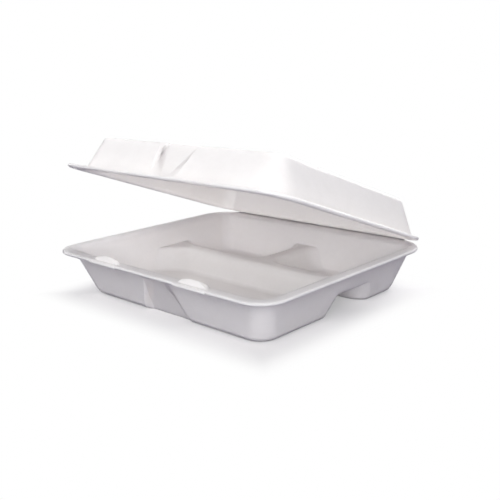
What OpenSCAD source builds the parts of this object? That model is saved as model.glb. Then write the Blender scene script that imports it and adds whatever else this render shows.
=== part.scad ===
// Hinged-lid takeaway container, thermoformed from one sheet of white polystyrene foam.
// The tray has one large compartment in front and two small ones behind it.
// The lid is formed flat beside the tray and turned over along the fold at the back.

/* [Rim] */
// Width of the rim, side to side
rim_w = 203; // [185:1:235]
// Depth of the rim, from the fold to the front edge
rim_d = 174; // [160:1:215]
// Width of the flat flange at the front and the sides
flange_w = 10; // [9:0.5:13]
// Width of the flat flange along the fold
fold_flange_w = 6; // [5:0.5:8]
// Radius of the flange's two front corners
front_corner_r = 18.5; // [17:0.5:28]
// Radius of the flange's two corners at the fold
fold_corner_r = 23; // [16:1:25]
// Radius of the walls' back corners at the rim
wall_back_r = 8; // [6:0.5:10]
// Rounding from the flange down into the walls
rim_r = 5; // [2:0.5:6]
// Thickness of the foam sheet
sheet = 2.2; // [1.8:0.1:3]
// Rounding of the sheet's cut edge
edge_r = 0.7; // [0.3:0.1:0.8]

/* [Tray] */
// Height of the tray's rim above the table
tray_h = 33; // [28:0.5:42]
// Lean of the tray's walls from upright, in degrees
tray_lean = 18.5; // [12:0.5:24]
// Radius of the tray's front corners at the floor
tray_front_r = 11; // [8:1:18]
// Radius of the tray's back corners at the floor
tray_back_r = 8; // [7:1:16]
// Rounding between the walls and the floors
floor_r = 4; // [2:0.5:6]

/* [Dividers] */
// Depth of the dividers' tops below the rim
crest_drop = 14.5; // [10:0.5:16]
// Distance of the long divider behind the middle of the tray
divider_y = 19; // [6:0.5:22]
// Width of the flat top of a divider
crest_w = 4; // [2:0.5:8]
// Rounding of a divider's two shoulders
crest_r = 6; // [4:0.5:7]
// Lean of the dividers' sides from upright, in degrees
divider_lean = 29; // [18:1:32]
// Corner radius of the front compartment where the divider meets the side walls
front_cell_r = 24; // [14:1:28]
// Corner radius of the small compartments where the divider meets the side walls
rear_cell_r = 13; // [9:1:18]
// Corner radius of the small compartments beside the short divider
inner_cell_r = 12; // [8:1:15]

/* [Front flutes] */
// Width of the tray's flute where it starts under the rim
tray_flute_rim_w = 12; // [11:1:20]
// Width of the tray's flute at the floor
tray_flute_end_w = 48; // [32:1:54]
// Width of the lid's flute where it starts at the rim
lid_flute_rim_w = 15; // [11:1:20]
// Width of the lid's flute at the top
lid_flute_end_w = 37; // [26:1:46]
// Depth of a flute where it starts under the rim
flute_rim_depth = 1; // [0.6:0.2:2]
// Depth of a flute at the tray's floor and at the lid's top
flute_end_depth = 4.5; // [3:0.5:8]
// Width of a flute's sloping side, seen from the front
flute_side = 5; // [2:0.5:5]

/* [Closure] */
// Distance of each tab from the middle of the front
tab_x = 42; // [34:1:50]
// Width of a tab
tab_w = 28; // [22:1:34]
// Rise of a tab above the rim
tab_rise = 3.2; // [2.4:0.1:5]
// Thickness of a tab at its top
tab_t = 1.8; // [1.4:0.1:2]
// Distance of a tab's foot behind the flange's front edge
tab_inset = 2.2; // [2:0.1:2.4]
// Depth of a tab's foot, front to back
tab_foot = 3.8; // [3:0.1:3.9]
// How far a tab's sides draw in toward its top
tab_taper = 9; // [4:0.5:10]
// How far the lip under a tab stands out past the flange
tab_lip = 1.2; // [0.4:0.2:2]
// Height of the swelling that carries a tab on the front wall
tab_swell_h = 6; // [5:0.5:10]
// Clearance round a tab in its slot
tab_clear = 1; // [0.6:0.1:1.1]

/* [Lid] */
// Height of the lid above its own rim
lid_h = 26; // [20:1:32]
// Lean of the lid's walls from upright, in degrees
lid_lean = 21; // [14:1:28]
// Radius of the lid's front corners where they rise from the flange
lid_corner_r = 20; // [8:1:24]
// Radius of the lid's front corners at the top
lid_front_r = 8; // [7:1:20]
// Radius of the lid's back corners at the top
lid_back_r = 8; // [7:1:18]
// Rounding of the edge round the lid's top
lid_edge_r = 2; // [1:0.5:6]
// How far the lid stands open, in degrees
lid_open = 19.8; // [2:0.1:90]

/* [Fold] */
// Gap between the tray's and the lid's edges along the fold
fold_gap = 0.3; // [0.2:0.05:0.6]
// Gap between the two flanges when the lid is shut
flange_gap = 0.3; // [0.2:0.05:0.6]
// Thickness that the sheet is pressed to at the fold
fold_t = 1; // [0.6:0.1:1.4]
// Width of the pressed band beside the fold
press_w = 3; // [2:0.5:3.5]

/* [Hidden] */
// Facets of a quarter corner, of a rounding and of a small round bar
corner_steps = 8;
round_steps = 3;
bar_fn = 20;
// Thickness of the slices that a loft is stretched between
skin = 0.01;
// Overrun of cutting shapes past what they cut
over = 1;
// Reach of shapes that stand for everything on one side of a plane
far = 2 * (rim_w + rim_d);
// Each half is drawn with the fold at y = 0, z = 0, its front toward -Y and its rim just under z = 0
rim_z = -flange_gap / 2;
fold_y = rim_d / 2;
fold_z = tray_h + flange_gap / 2;
front_y = -rim_d;
divider_local_y = divider_y - fold_y;
// The tray's front corners run level with the flange's where they leave it
tray_corner_r = front_corner_r - flange_w;
// Height of a tab's shoulders as a share of its rise, and how much of its taper is done there
shoulder_share = 0.6;
shoulder_taper = 0.3;
// Slope of the pressed band's underside toward the fold
press_slope = (sheet - fold_t) / press_w;

// A size that runs evenly from one value to another
function between(from, to, share) = from + (to - from) * share;

// Inset from the flange's edge of a wall's inside, or of its outside when grown by the sheet
function wall_u(lean, depth, grow = 0) = flange_w - grow / cos(lean) + depth * tan(lean);

// Quarter arc of a corner, starting at an angle
function corner(x, y, r, start) =
    [for (i = [0:corner_steps]) let (a = start + 90 * i / corner_steps) [x + r * cos(a), y + r * sin(a)]];

// Level outline from its left, right, front and back and its four corner radii, front right first
function outline(left, right, front, back, r) = concat(
    corner(right - r[0], front + r[0], r[0], -90),
    corner(right - r[1], back - r[1], r[1], 0),
    corner(left + r[2], back - r[2], r[2], 90),
    corner(left + r[3], front + r[3], r[3], 180));

// Rounded shoulder from level ground at depth top into a leaning side, as [inset, depth] points;
// u is the inset at which the level ground ends
function shoulder(u, top, lean, r) =
    [for (i = [0:round_steps]) let (b = between(90, lean, i / round_steps))
        [u + r * cos(b), top + r - r * sin(b)]];

// Rounded foot from a leaning side into a floor at depth bottom; u is the side's inset at depth 0
function foot(u, bottom, lean, r) =
    [for (i = [0:round_steps]) let (b = between(lean, 90, i / round_steps))
        [u + (bottom - r) * tan(lean) + r / cos(lean) - r * cos(b), bottom - r + r * sin(b)]];

// Thin level slice at a depth under the rim
module slice(depth, points) {
    translate([0, 0, rim_z - depth])
        linear_extrude(skin)
            polygon(points);
}

// Solid stretched through slices that each lie lower than the one before, given as [depth, points]
module loft(slices) {
    for (i = [0:len(slices) - 2])
        hull() {
            slice(slices[i][0], slices[i][1]);
            slice(slices[i + 1][0], slices[i + 1][1]);
        }
}

// Bowl under the rim with leaning walls, conical corners and a rounded foot: its inside, or its outside
// when grown by the sheet
module bowl(h, lean, corner_r, front_r, back_r, foot_r, grow) {
    level_u = wall_u(lean, rim_r) - rim_r / cos(lean);
    top = grow > 0 ? [[wall_u(lean, grow / 2, grow), grow / 2]]
                   : concat([[level_u, -over]], shoulder(level_u, 0, lean, rim_r));
    loft([for (p = concat(top, foot(wall_u(lean, 0, grow), h - sheet + grow, lean, foot_r + grow)))
        let (
            extra = p[0] - wall_u(lean, p[1]),
            share = max(p[1], 0) / h,
            fr = between(corner_r, front_r, share) - extra,
            br = between(wall_back_r, back_r, share) - extra,
            back = flange_w - fold_flange_w - p[0]
        )
        [p[1], outline(-rim_w / 2 + p[0], rim_w / 2 - p[0], front_y + p[0], back, [fr, br, br, fr])]]);
}

// Flat flange round the rim, with its cut edge rounded and pressed thin along the fold
module flange() {
    difference() {
        hull()
            for (inset = [0, edge_r])
                translate([0, 0, rim_z - sheet + edge_r - inset])
                    linear_extrude(sheet - 2 * (edge_r - inset))
                        polygon(outline(-rim_w / 2 + inset, rim_w / 2 - inset, front_y + inset, -fold_gap / 2,
                            [front_corner_r, fold_corner_r, fold_corner_r, front_corner_r]));
        translate([-far / 2, 0, rim_z])
            rotate([90, 0, 90])
                linear_extrude(far)
                    polygon([
                        [over, over * press_slope - fold_t],
                        [-press_w - over, -sheet - over * press_slope],
                        [over, -sheet - over * press_slope]]);
    }
}

// Wedge-shaped flute pressed into the middle of a front wall, from its width at the rim to its width at the
// end; grow gives the sheet's inner face
module flute(h, lean, rim_width, end_width, grow) {
    hull()
        for (end = [
            [grow > 0 ? rim_r : sheet / 2, rim_width, flute_rim_depth],
            [h + over, end_width, flute_end_depth]]) {
            face = front_y + wall_u(lean, end[0], sheet);
            half = (end[1] + grow) / 2;
            deep = end[2] + grow;
            mouth = half + over * flute_side / deep;
            slice(end[0], [[-mouth, face - over], [mouth, face - over], [half - flute_side, face + deep],
                [flute_side - half, face + deep]]);
        }
}

// Foam half: flange and bowl wall, open above; the children are the shapes that fill the bowl and its inside
module half_shell(h, lean, rim_width, end_width) {
    difference() {
        union() {
            flange();
            difference() {
                children(0);
                flute(h, lean, rim_width, end_width, 0);
            }
        }
        difference() {
            children(1);
            flute(h, lean, rim_width, end_width, sheet);
        }
    }
}

// One compartment below the dividers' tops, between its left, right, front and back. The flags tell which
// of these is the middle of a divider; the others are edges of the rim, and there it stands out past the
// bowl's walls.
module cell(left, right, front, back, dividers, radii, grow) {
    bottom = tray_h - sheet + grow;
    r = crest_r - grow;
    top = crest_drop + grow;
    level_u = crest_w / 2;
    side_u = level_u + r / cos(divider_lean) - (top + r) * tan(divider_lean);
    high = concat([[level_u, top - over]], shoulder(level_u, top, divider_lean, r));
    low = foot(side_u, bottom, divider_lean, floor_r + grow);
    end = [[low[len(low) - 1][0], bottom + over]];
    loft([for (p = concat(high, low, end))
        let (wall = wall_u(tray_lean, p[1], grow) - over)
        [p[1], outline(
            left + (dividers[0] ? p[0] : wall),
            right - (dividers[1] ? p[0] : wall),
            front + (dividers[2] ? p[0] : wall),
            back - (dividers[3] ? p[0] : wall + fold_flange_w - flange_w),
            [for (radius = radii) radius + grow])]]);
}

// Space over the dividers and in the three compartments
module tray_space(grow) {
    intersection() {
        bowl(tray_h, tray_lean, tray_corner_r, tray_front_r, tray_back_r, floor_r, grow);
        union() {
            translate([-far / 2, -far / 2, rim_z - crest_drop - grow])
                cube([far, far, far]);
            cell(-rim_w / 2, rim_w / 2, front_y, divider_local_y, [false, false, false, true],
                [over, front_cell_r, front_cell_r, over], grow);
            cell(0, rim_w / 2, divider_local_y, 0, [true, false, true, false],
                [rear_cell_r, over, inner_cell_r, inner_cell_r], grow);
            cell(-rim_w / 2, 0, divider_local_y, 0, [false, true, true, false],
                [inner_cell_r, inner_cell_r, over, rear_cell_r], grow);
        }
    }
}

// Round-ended bar along X
module bar(length, d) {
    for (side = [-1, 1])
        translate([side * (length - d) / 2, 0, 0])
            sphere(d = d, $fn = bar_fn);
}

// Closure tab: a tongue on the flange whose front leans back, and the swelling of the front wall under it
module tab() {
    foot_front = front_y + tab_inset + tab_t / 2;
    foot_back = front_y + tab_inset + tab_foot - tab_t / 2;
    wall_y = front_y + wall_u(tray_lean, tab_swell_h) - sheet / 2;
    hull() {
        translate([0, foot_back, rim_z + tab_rise - tab_t / 2])
            bar(tab_w - 2 * tab_taper, tab_t);
        translate([0, foot_back, rim_z + shoulder_share * tab_rise - tab_t / 2])
            bar(tab_w - 2 * shoulder_taper * tab_taper, tab_t);
        for (y = [foot_front, foot_back])
            translate([0, y, rim_z - sheet / 2])
                bar(tab_w, tab_t);
    }
    hull() {
        for (y = [front_y - tab_lip + tab_t / 2, front_y + flange_w - sheet])
            translate([0, y, rim_z - sheet / 2])
                bar(tab_w, tab_t);
        translate([0, wall_y, rim_z - tab_swell_h])
            bar(tab_w - 2 * tab_taper, tab_t);
    }
}

// Slot in the lid's front flange for a tab
module slot() {
    w = tab_w + 2 * tab_clear;
    d = tab_foot + 2 * tab_clear;
    translate([0, front_y + tab_inset - tab_clear, rim_z - sheet - over])
        hull()
            for (side = [-1, 1])
                translate([side * (w - d) / 2, d / 2, 0])
                    cylinder(d = d, h = sheet + 2 * over, $fn = bar_fn);
}

// Tray with its rim up, its floor on the table
module tray() {
    color("white")
        translate([0, fold_y, fold_z]) {
            half_shell(tray_h, tray_lean, tray_flute_rim_w, tray_flute_end_w) {
                tray_space(sheet);
                tray_space(0);
            }
            for (side = [-1, 1])
                translate([side * tab_x, 0, 0])
                    tab();
        }
}

// Lid, formed like the tray on the far side of the fold and turned over it
module lid() {
    color("white")
        translate([0, fold_y, fold_z])
            rotate([180 - lid_open, 0, 0])
                mirror([0, 1, 0])
                    difference() {
                        half_shell(lid_h, lid_lean, lid_flute_rim_w, lid_flute_end_w) {
                            bowl(lid_h, lid_lean, lid_corner_r, lid_front_r, lid_back_r, lid_edge_r, sheet);
                            bowl(lid_h, lid_lean, lid_corner_r, lid_front_r, lid_back_r, lid_edge_r, 0);
                        }
                        for (side = [-1, 1])
                            translate([side * tab_x, 0, 0])
                                slot();
                    }
}

tray();
lid();
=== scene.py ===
from math import cos, radians, sin

import bpy
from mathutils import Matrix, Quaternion, Vector


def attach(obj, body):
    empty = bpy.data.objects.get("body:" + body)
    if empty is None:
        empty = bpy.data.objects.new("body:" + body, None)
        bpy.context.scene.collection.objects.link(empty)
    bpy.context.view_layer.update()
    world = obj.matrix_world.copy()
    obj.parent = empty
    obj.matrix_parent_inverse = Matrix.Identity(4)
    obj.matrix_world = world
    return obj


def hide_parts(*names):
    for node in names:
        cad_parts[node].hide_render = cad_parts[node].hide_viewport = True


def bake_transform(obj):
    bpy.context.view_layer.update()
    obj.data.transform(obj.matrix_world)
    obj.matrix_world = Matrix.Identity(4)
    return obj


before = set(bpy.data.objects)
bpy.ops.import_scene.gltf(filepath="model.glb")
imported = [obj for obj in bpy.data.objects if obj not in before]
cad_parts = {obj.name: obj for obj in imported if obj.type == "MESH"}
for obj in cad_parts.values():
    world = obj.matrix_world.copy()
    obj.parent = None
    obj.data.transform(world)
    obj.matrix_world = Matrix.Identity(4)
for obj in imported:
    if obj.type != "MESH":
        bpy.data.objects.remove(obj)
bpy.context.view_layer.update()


# Foam sheet
# One sheet of expanded polystyrene, about 2.2 mm thick, with a fine closed skin over small crushed cells.
# It is heated and pressed between moulds, so every edge of the form is soft and the skin is a little uneven.
# Some light passes through it.

class Signal:
    """A value on its way through a material's nodes. Arithmetic on it adds Math nodes."""

    def __init__(self, tree, socket=None):
        self.tree = tree
        self.socket = socket

    def node(self, kind, settings=None, inputs=None, output=0):
        made = self.tree.nodes.new(kind)
        for key, value in (settings or {}).items():
            setattr(made, key, value)
        for key, value in (inputs or {}).items():
            if isinstance(value, Signal):
                self.tree.links.new(value.socket, made.inputs[key])
            else:
                made.inputs[key].default_value = value
        return Signal(self.tree, made.outputs[output] if made.outputs else None)

    def math(self, operation, first, second):
        return self.node("ShaderNodeMath", {"operation": operation}, {0: first, 1: second})

    def __add__(self, other):
        return self.math("ADD", self, other)

    __radd__ = __add__

    def __sub__(self, other):
        return self.math("SUBTRACT", self, other)

    def __rsub__(self, other):
        return self.math("SUBTRACT", other, self)

    def __mul__(self, other):
        return self.math("MULTIPLY", self, other)

    __rmul__ = __mul__


foam_white = (0.98, 0.935, 0.915, 1)
foam_thin = (0.958, 0.912, 0.893, 1)
cell_size = 0.0011
crushed_scale = 420
mottle_scale = 90
sag_size = 0.028
swell_height = 0.0016
grain_height = 0.00028
light_depth = 0.006

foam = bpy.data.materials.new("white_foam")
foam.use_nodes = True
foam.node_tree.nodes.clear()
skin = Signal(foam.node_tree)
place = skin.node("ShaderNodeTexCoord", output="Object")
cells = skin.node("ShaderNodeTexVoronoi", {"feature": "SMOOTH_F1"}, {
    "Vector": place, "Scale": 1 / cell_size, "Smoothness": 0.6}, "Distance")
crushed = skin.node("ShaderNodeTexNoise", inputs={"Vector": place, "Scale": crushed_scale, "Detail": 3})
mottle = skin.node("ShaderNodeTexNoise", inputs={
    "Vector": place, "Scale": mottle_scale, "Detail": 4, "Roughness": 0.6})
sag = skin.node("ShaderNodeTexNoise", inputs={"Vector": place, "Scale": 1 / sag_size, "Detail": 1})
tone = skin.node("ShaderNodeMapRange", inputs={
    "Value": mottle + (crushed - 0.5) * 0.5, "From Min": 0.3, "From Max": 0.62})
colour = skin.node("ShaderNodeMix", {"data_type": "RGBA"}, {0: tone, 6: foam_thin, 7: foam_white}, 2)
swell = skin.node("ShaderNodeBump", inputs={"Strength": 0.35, "Distance": swell_height, "Height": sag})
grain = skin.node("ShaderNodeBump", inputs={
    "Strength": 0.16, "Distance": grain_height, "Height": crushed * 0.7 - cells * 0.6, "Normal": swell})
shader = skin.node("ShaderNodeBsdfPrincipled", inputs={
    "Base Color": colour, "Roughness": 0.44 + mottle * 0.2, "Normal": grain, "IOR": 1.45,
    "Specular IOR Level": 0.4, "Subsurface Weight": 1.0, "Subsurface Radius": (1.0, 1.0, 1.0),
    "Subsurface Scale": light_depth})
skin.node("ShaderNodeOutputMaterial", inputs={"Surface": shader})


# Tray
# The lower half: one large compartment in front, two small ones behind it, and hollow dividers between them.
# It is the moulded solid itself, with its flat facets joined and its rounded forms shaded smooth.
# The folds of the flute in the front wall stay crisp.

weld = 0.000002
flat_joint = radians(0.6)
soft_edge = radians(25)
flute_half = 0.027
flute_back = -0.045
mostly_across = 0.7


def moulded(name, body):
    """A smooth copy of a moulded half that takes its place and moves with it."""
    piece = bpy.data.objects.new(name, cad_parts[body].data.copy())
    bpy.context.scene.collection.objects.link(piece)
    bpy.ops.object.select_all(action="DESELECT")
    bpy.context.view_layer.objects.active = piece
    piece.select_set(True)
    bpy.ops.object.mode_set(mode="EDIT")
    bpy.ops.mesh.select_all(action="SELECT")
    bpy.ops.mesh.remove_doubles(threshold=weld)
    bpy.ops.mesh.dissolve_limited(angle_limit=flat_joint)
    bpy.ops.object.mode_set(mode="OBJECT")
    bpy.ops.object.shade_smooth_by_angle(angle=soft_edge)
    points = piece.data.vertices
    for face in piece.data.polygons:
        corners = [points[i].co for i in face.vertices]
        edges = [corners[i] - corners[i - 1] for i in range(len(corners))]
        longest = max(edges, key=lambda edge: edge.length)
        in_flute = all(abs(corner.x) < flute_half and corner.y < flute_back for corner in corners)
        if in_flute and abs(longest.x) < mostly_across * longest.length:
            face.use_smooth = False
    even = piece.modifiers.new("even", "WEIGHTED_NORMAL")
    even.keep_sharp = True
    even.weight = 100
    bpy.ops.object.modifier_apply(modifier="even")
    piece.data.materials.clear()
    piece.data.materials.append(foam)
    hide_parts(body)
    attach(piece, body)


moulded("foam_tray", "tray")


# Lid
# The upper half: a shallow dome with a wedge-shaped flute in front and two slots for the tray's tabs.
# It is pressed from the same sheet and turns on the fold.

moulded("foam_lid", "lid")


# Fold
# The sheet is crushed thin along the back and bends round there, so it shows as a narrow round bead.
# It is spun once about the hinge line, from the tray's edge to the lid's edge as the lid stands open.
# The wide corners of both halves leave its ends open.

fold_y = 0.087
fold_z = 0.03315
fold_end = 0.0815
bead_r = 0.00105
bead_t = 0.0003
bead_steps = 14
bead_soft_edge = radians(40)
lid_open = radians(19.8)
bead_reach = radians(128)
bead_start = -bead_reach
bead_turn = 2 * bead_reach - lid_open

bpy.ops.object.select_all(action="DESELECT")
bpy.ops.mesh.primitive_plane_add(
    size=1, location=(0, fold_y + bead_r * cos(bead_start), fold_z + bead_r * sin(bead_start)),
    rotation=(bead_start, 0, 0))
bead = bpy.context.object
bead.name = "foam_fold"
bead.scale = (2 * fold_end, bead_t, 1)
bpy.ops.object.transform_apply(location=True, rotation=True, scale=True)
bpy.ops.object.mode_set(mode="EDIT")
bpy.ops.mesh.select_all(action="SELECT")
bpy.ops.mesh.spin(steps=bead_steps, angle=bead_turn, center=(0, fold_y, fold_z), axis=(1, 0, 0))
bpy.ops.mesh.select_all(action="SELECT")
bpy.ops.mesh.remove_doubles(threshold=weld)
bpy.ops.mesh.normals_make_consistent(inside=False)
bpy.ops.object.mode_set(mode="OBJECT")
bpy.ops.object.shade_smooth_by_angle(angle=bead_soft_edge)
bead.data.materials.append(foam)
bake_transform(bead)


# Table
# A plain pale sheet of card, wide enough to run out of sight behind the container.
# It shows the soft shadow under the tray and runs into plain white a little way from it.

table_size = 40
shadow_half_x = 0.085
shadow_half_y = 0.072
shadow_fade = 0.03
card_pale = (0.6, 0.6, 0.61, 1)
card_glow = 0.3
card_bounce = (0.08, 0.07, 0.13, 1)
plain_white = (1, 1, 1, 1)

bpy.ops.object.select_all(action="DESELECT")
bpy.ops.mesh.primitive_plane_add(size=table_size, location=(0, 0, 0))
table = bpy.context.object
table.name = "table"
card = bpy.data.materials.new("pale_card")
card.use_nodes = True
card.node_tree.nodes.clear()
sheet = Signal(card.node_tree)
rays = sheet.node("ShaderNodeLightPath", output="Is Camera Ray")
spot = sheet.node("ShaderNodeTexCoord", output="Object")
across = sheet.node("ShaderNodeSeparateXYZ", inputs={0: spot}, output="X")
along = sheet.node("ShaderNodeSeparateXYZ", inputs={0: spot}, output="Y")
side_gap = sheet.math("ABSOLUTE", across, 0) - shadow_half_x
end_gap = sheet.math("ABSOLUTE", along, 0) - shadow_half_y
off_tray = sheet.node("ShaderNodeMapRange", {"interpolation_type": "SMOOTHSTEP"}, {
    "Value": sheet.math("MAXIMUM", side_gap, end_gap), "From Min": 0.0, "From Max": shadow_fade})
bounce = sheet.node("ShaderNodeBsdfDiffuse", inputs={"Color": card_bounce})
matte = sheet.node("ShaderNodeBsdfDiffuse", inputs={"Color": card_pale})
glow = sheet.node("ShaderNodeEmission", inputs={"Color": plain_white, "Strength": card_glow})
near = sheet.node("ShaderNodeAddShader", inputs={0: matte, 1: glow})
far = sheet.node("ShaderNodeEmission", inputs={"Color": plain_white, "Strength": 1})
seen = sheet.node("ShaderNodeMixShader", inputs={0: off_tray, 1: near, 2: far})
card_mix = sheet.node("ShaderNodeMixShader", inputs={0: rays, 1: bounce, 2: seen})
sheet.node("ShaderNodeOutputMaterial", inputs={"Surface": card_mix})
table.data.materials.append(card)


# Light
# Four round soft lamps that point at the container: a wide one in front on the right, one above the back,
# one low behind it, so that light comes through the lid, and one on the left.
# The room adds a faint light and shows as white.

room_white = (0.97, 0.98, 1.0, 1)
room_low = 0.02
room_high = 0.05
lamp_white = (1.0, 0.985, 0.985)
middle = Vector((0, 0, 0.05))

world = bpy.data.worlds.new("room")
bpy.context.scene.world = world
world.use_nodes = True
world.node_tree.nodes.clear()
room = Signal(world.node_tree)
looked_at = room.node("ShaderNodeLightPath", output="Is Camera Ray")
sky = room.node("ShaderNodeTexCoord", output="Generated")
height = room.node("ShaderNodeSeparateXYZ", inputs={0: sky}, output="Z")
bright = room.node("ShaderNodeMapRange", {"interpolation_type": "SMOOTHSTEP"}, {
    "Value": height, "From Min": -0.1, "From Max": 0.75, "To Min": room_low, "To Max": room_high})
faint = room.node("ShaderNodeBackground", inputs={"Color": room_white, "Strength": bright})
white = room.node("ShaderNodeBackground", inputs={"Color": plain_white, "Strength": 1})
mixed = room.node("ShaderNodeMixShader", inputs={0: looked_at, 1: faint, 2: white})
room.node("ShaderNodeOutputWorld", inputs={"Surface": mixed})


def soft_lamp(name, stand, size, power):
    """A round lamp that points at the middle of the container."""
    bpy.ops.object.select_all(action="DESELECT")
    bpy.ops.object.light_add(type="AREA", location=stand)
    lamp = bpy.context.object
    lamp.name = name
    lamp.data.shape = "DISK"
    lamp.data.size = size
    lamp.data.energy = power
    lamp.data.color = lamp_white
    lamp.rotation_euler = (middle - Vector(stand)).to_track_quat("-Z", "Y").to_euler()


soft_lamp("front", (0.75, -0.84, 0.46), size=1.1, power=17.5)
soft_lamp("back", (-0.16, 0.58, 1.09), size=1, power=7.5)
soft_lamp("behind", (0.00, 1.09, 0.56), size=0.8, power=8)
soft_lamp("side", (-1.00, -0.27, 0.65), size=0.8, power=5)


# Camera
# It stands a little above the table, off the front right corner of the tray.
# It is rolled slightly and looks just to the right of the middle of the container.

azimuth = radians(43.136)
elevation = radians(14.702)
distance = 0.51562
roll = radians(-1.3659)
aim_side = 0.00767
aim_height = 0.03022
focal_length = 52.506
film_width = 36

aim = Vector((cos(azimuth) * aim_side, sin(azimuth) * aim_side, aim_height))
toward = Vector((sin(azimuth) * cos(elevation), -cos(azimuth) * cos(elevation), sin(elevation)))
camera = bpy.data.objects.new("camera", bpy.data.cameras.new("camera"))
bpy.context.scene.collection.objects.link(camera)
camera.location = aim + toward * distance
camera.rotation_mode = "QUATERNION"
camera.rotation_quaternion = toward.to_track_quat("Z", "Y") @ Quaternion((0, 0, 1), roll)
camera.data.sensor_width = film_width
camera.data.lens = focal_length
camera.data.clip_start = 0.01
bpy.context.scene.camera = camera
bpy.context.scene.view_settings.view_transform = "Standard"
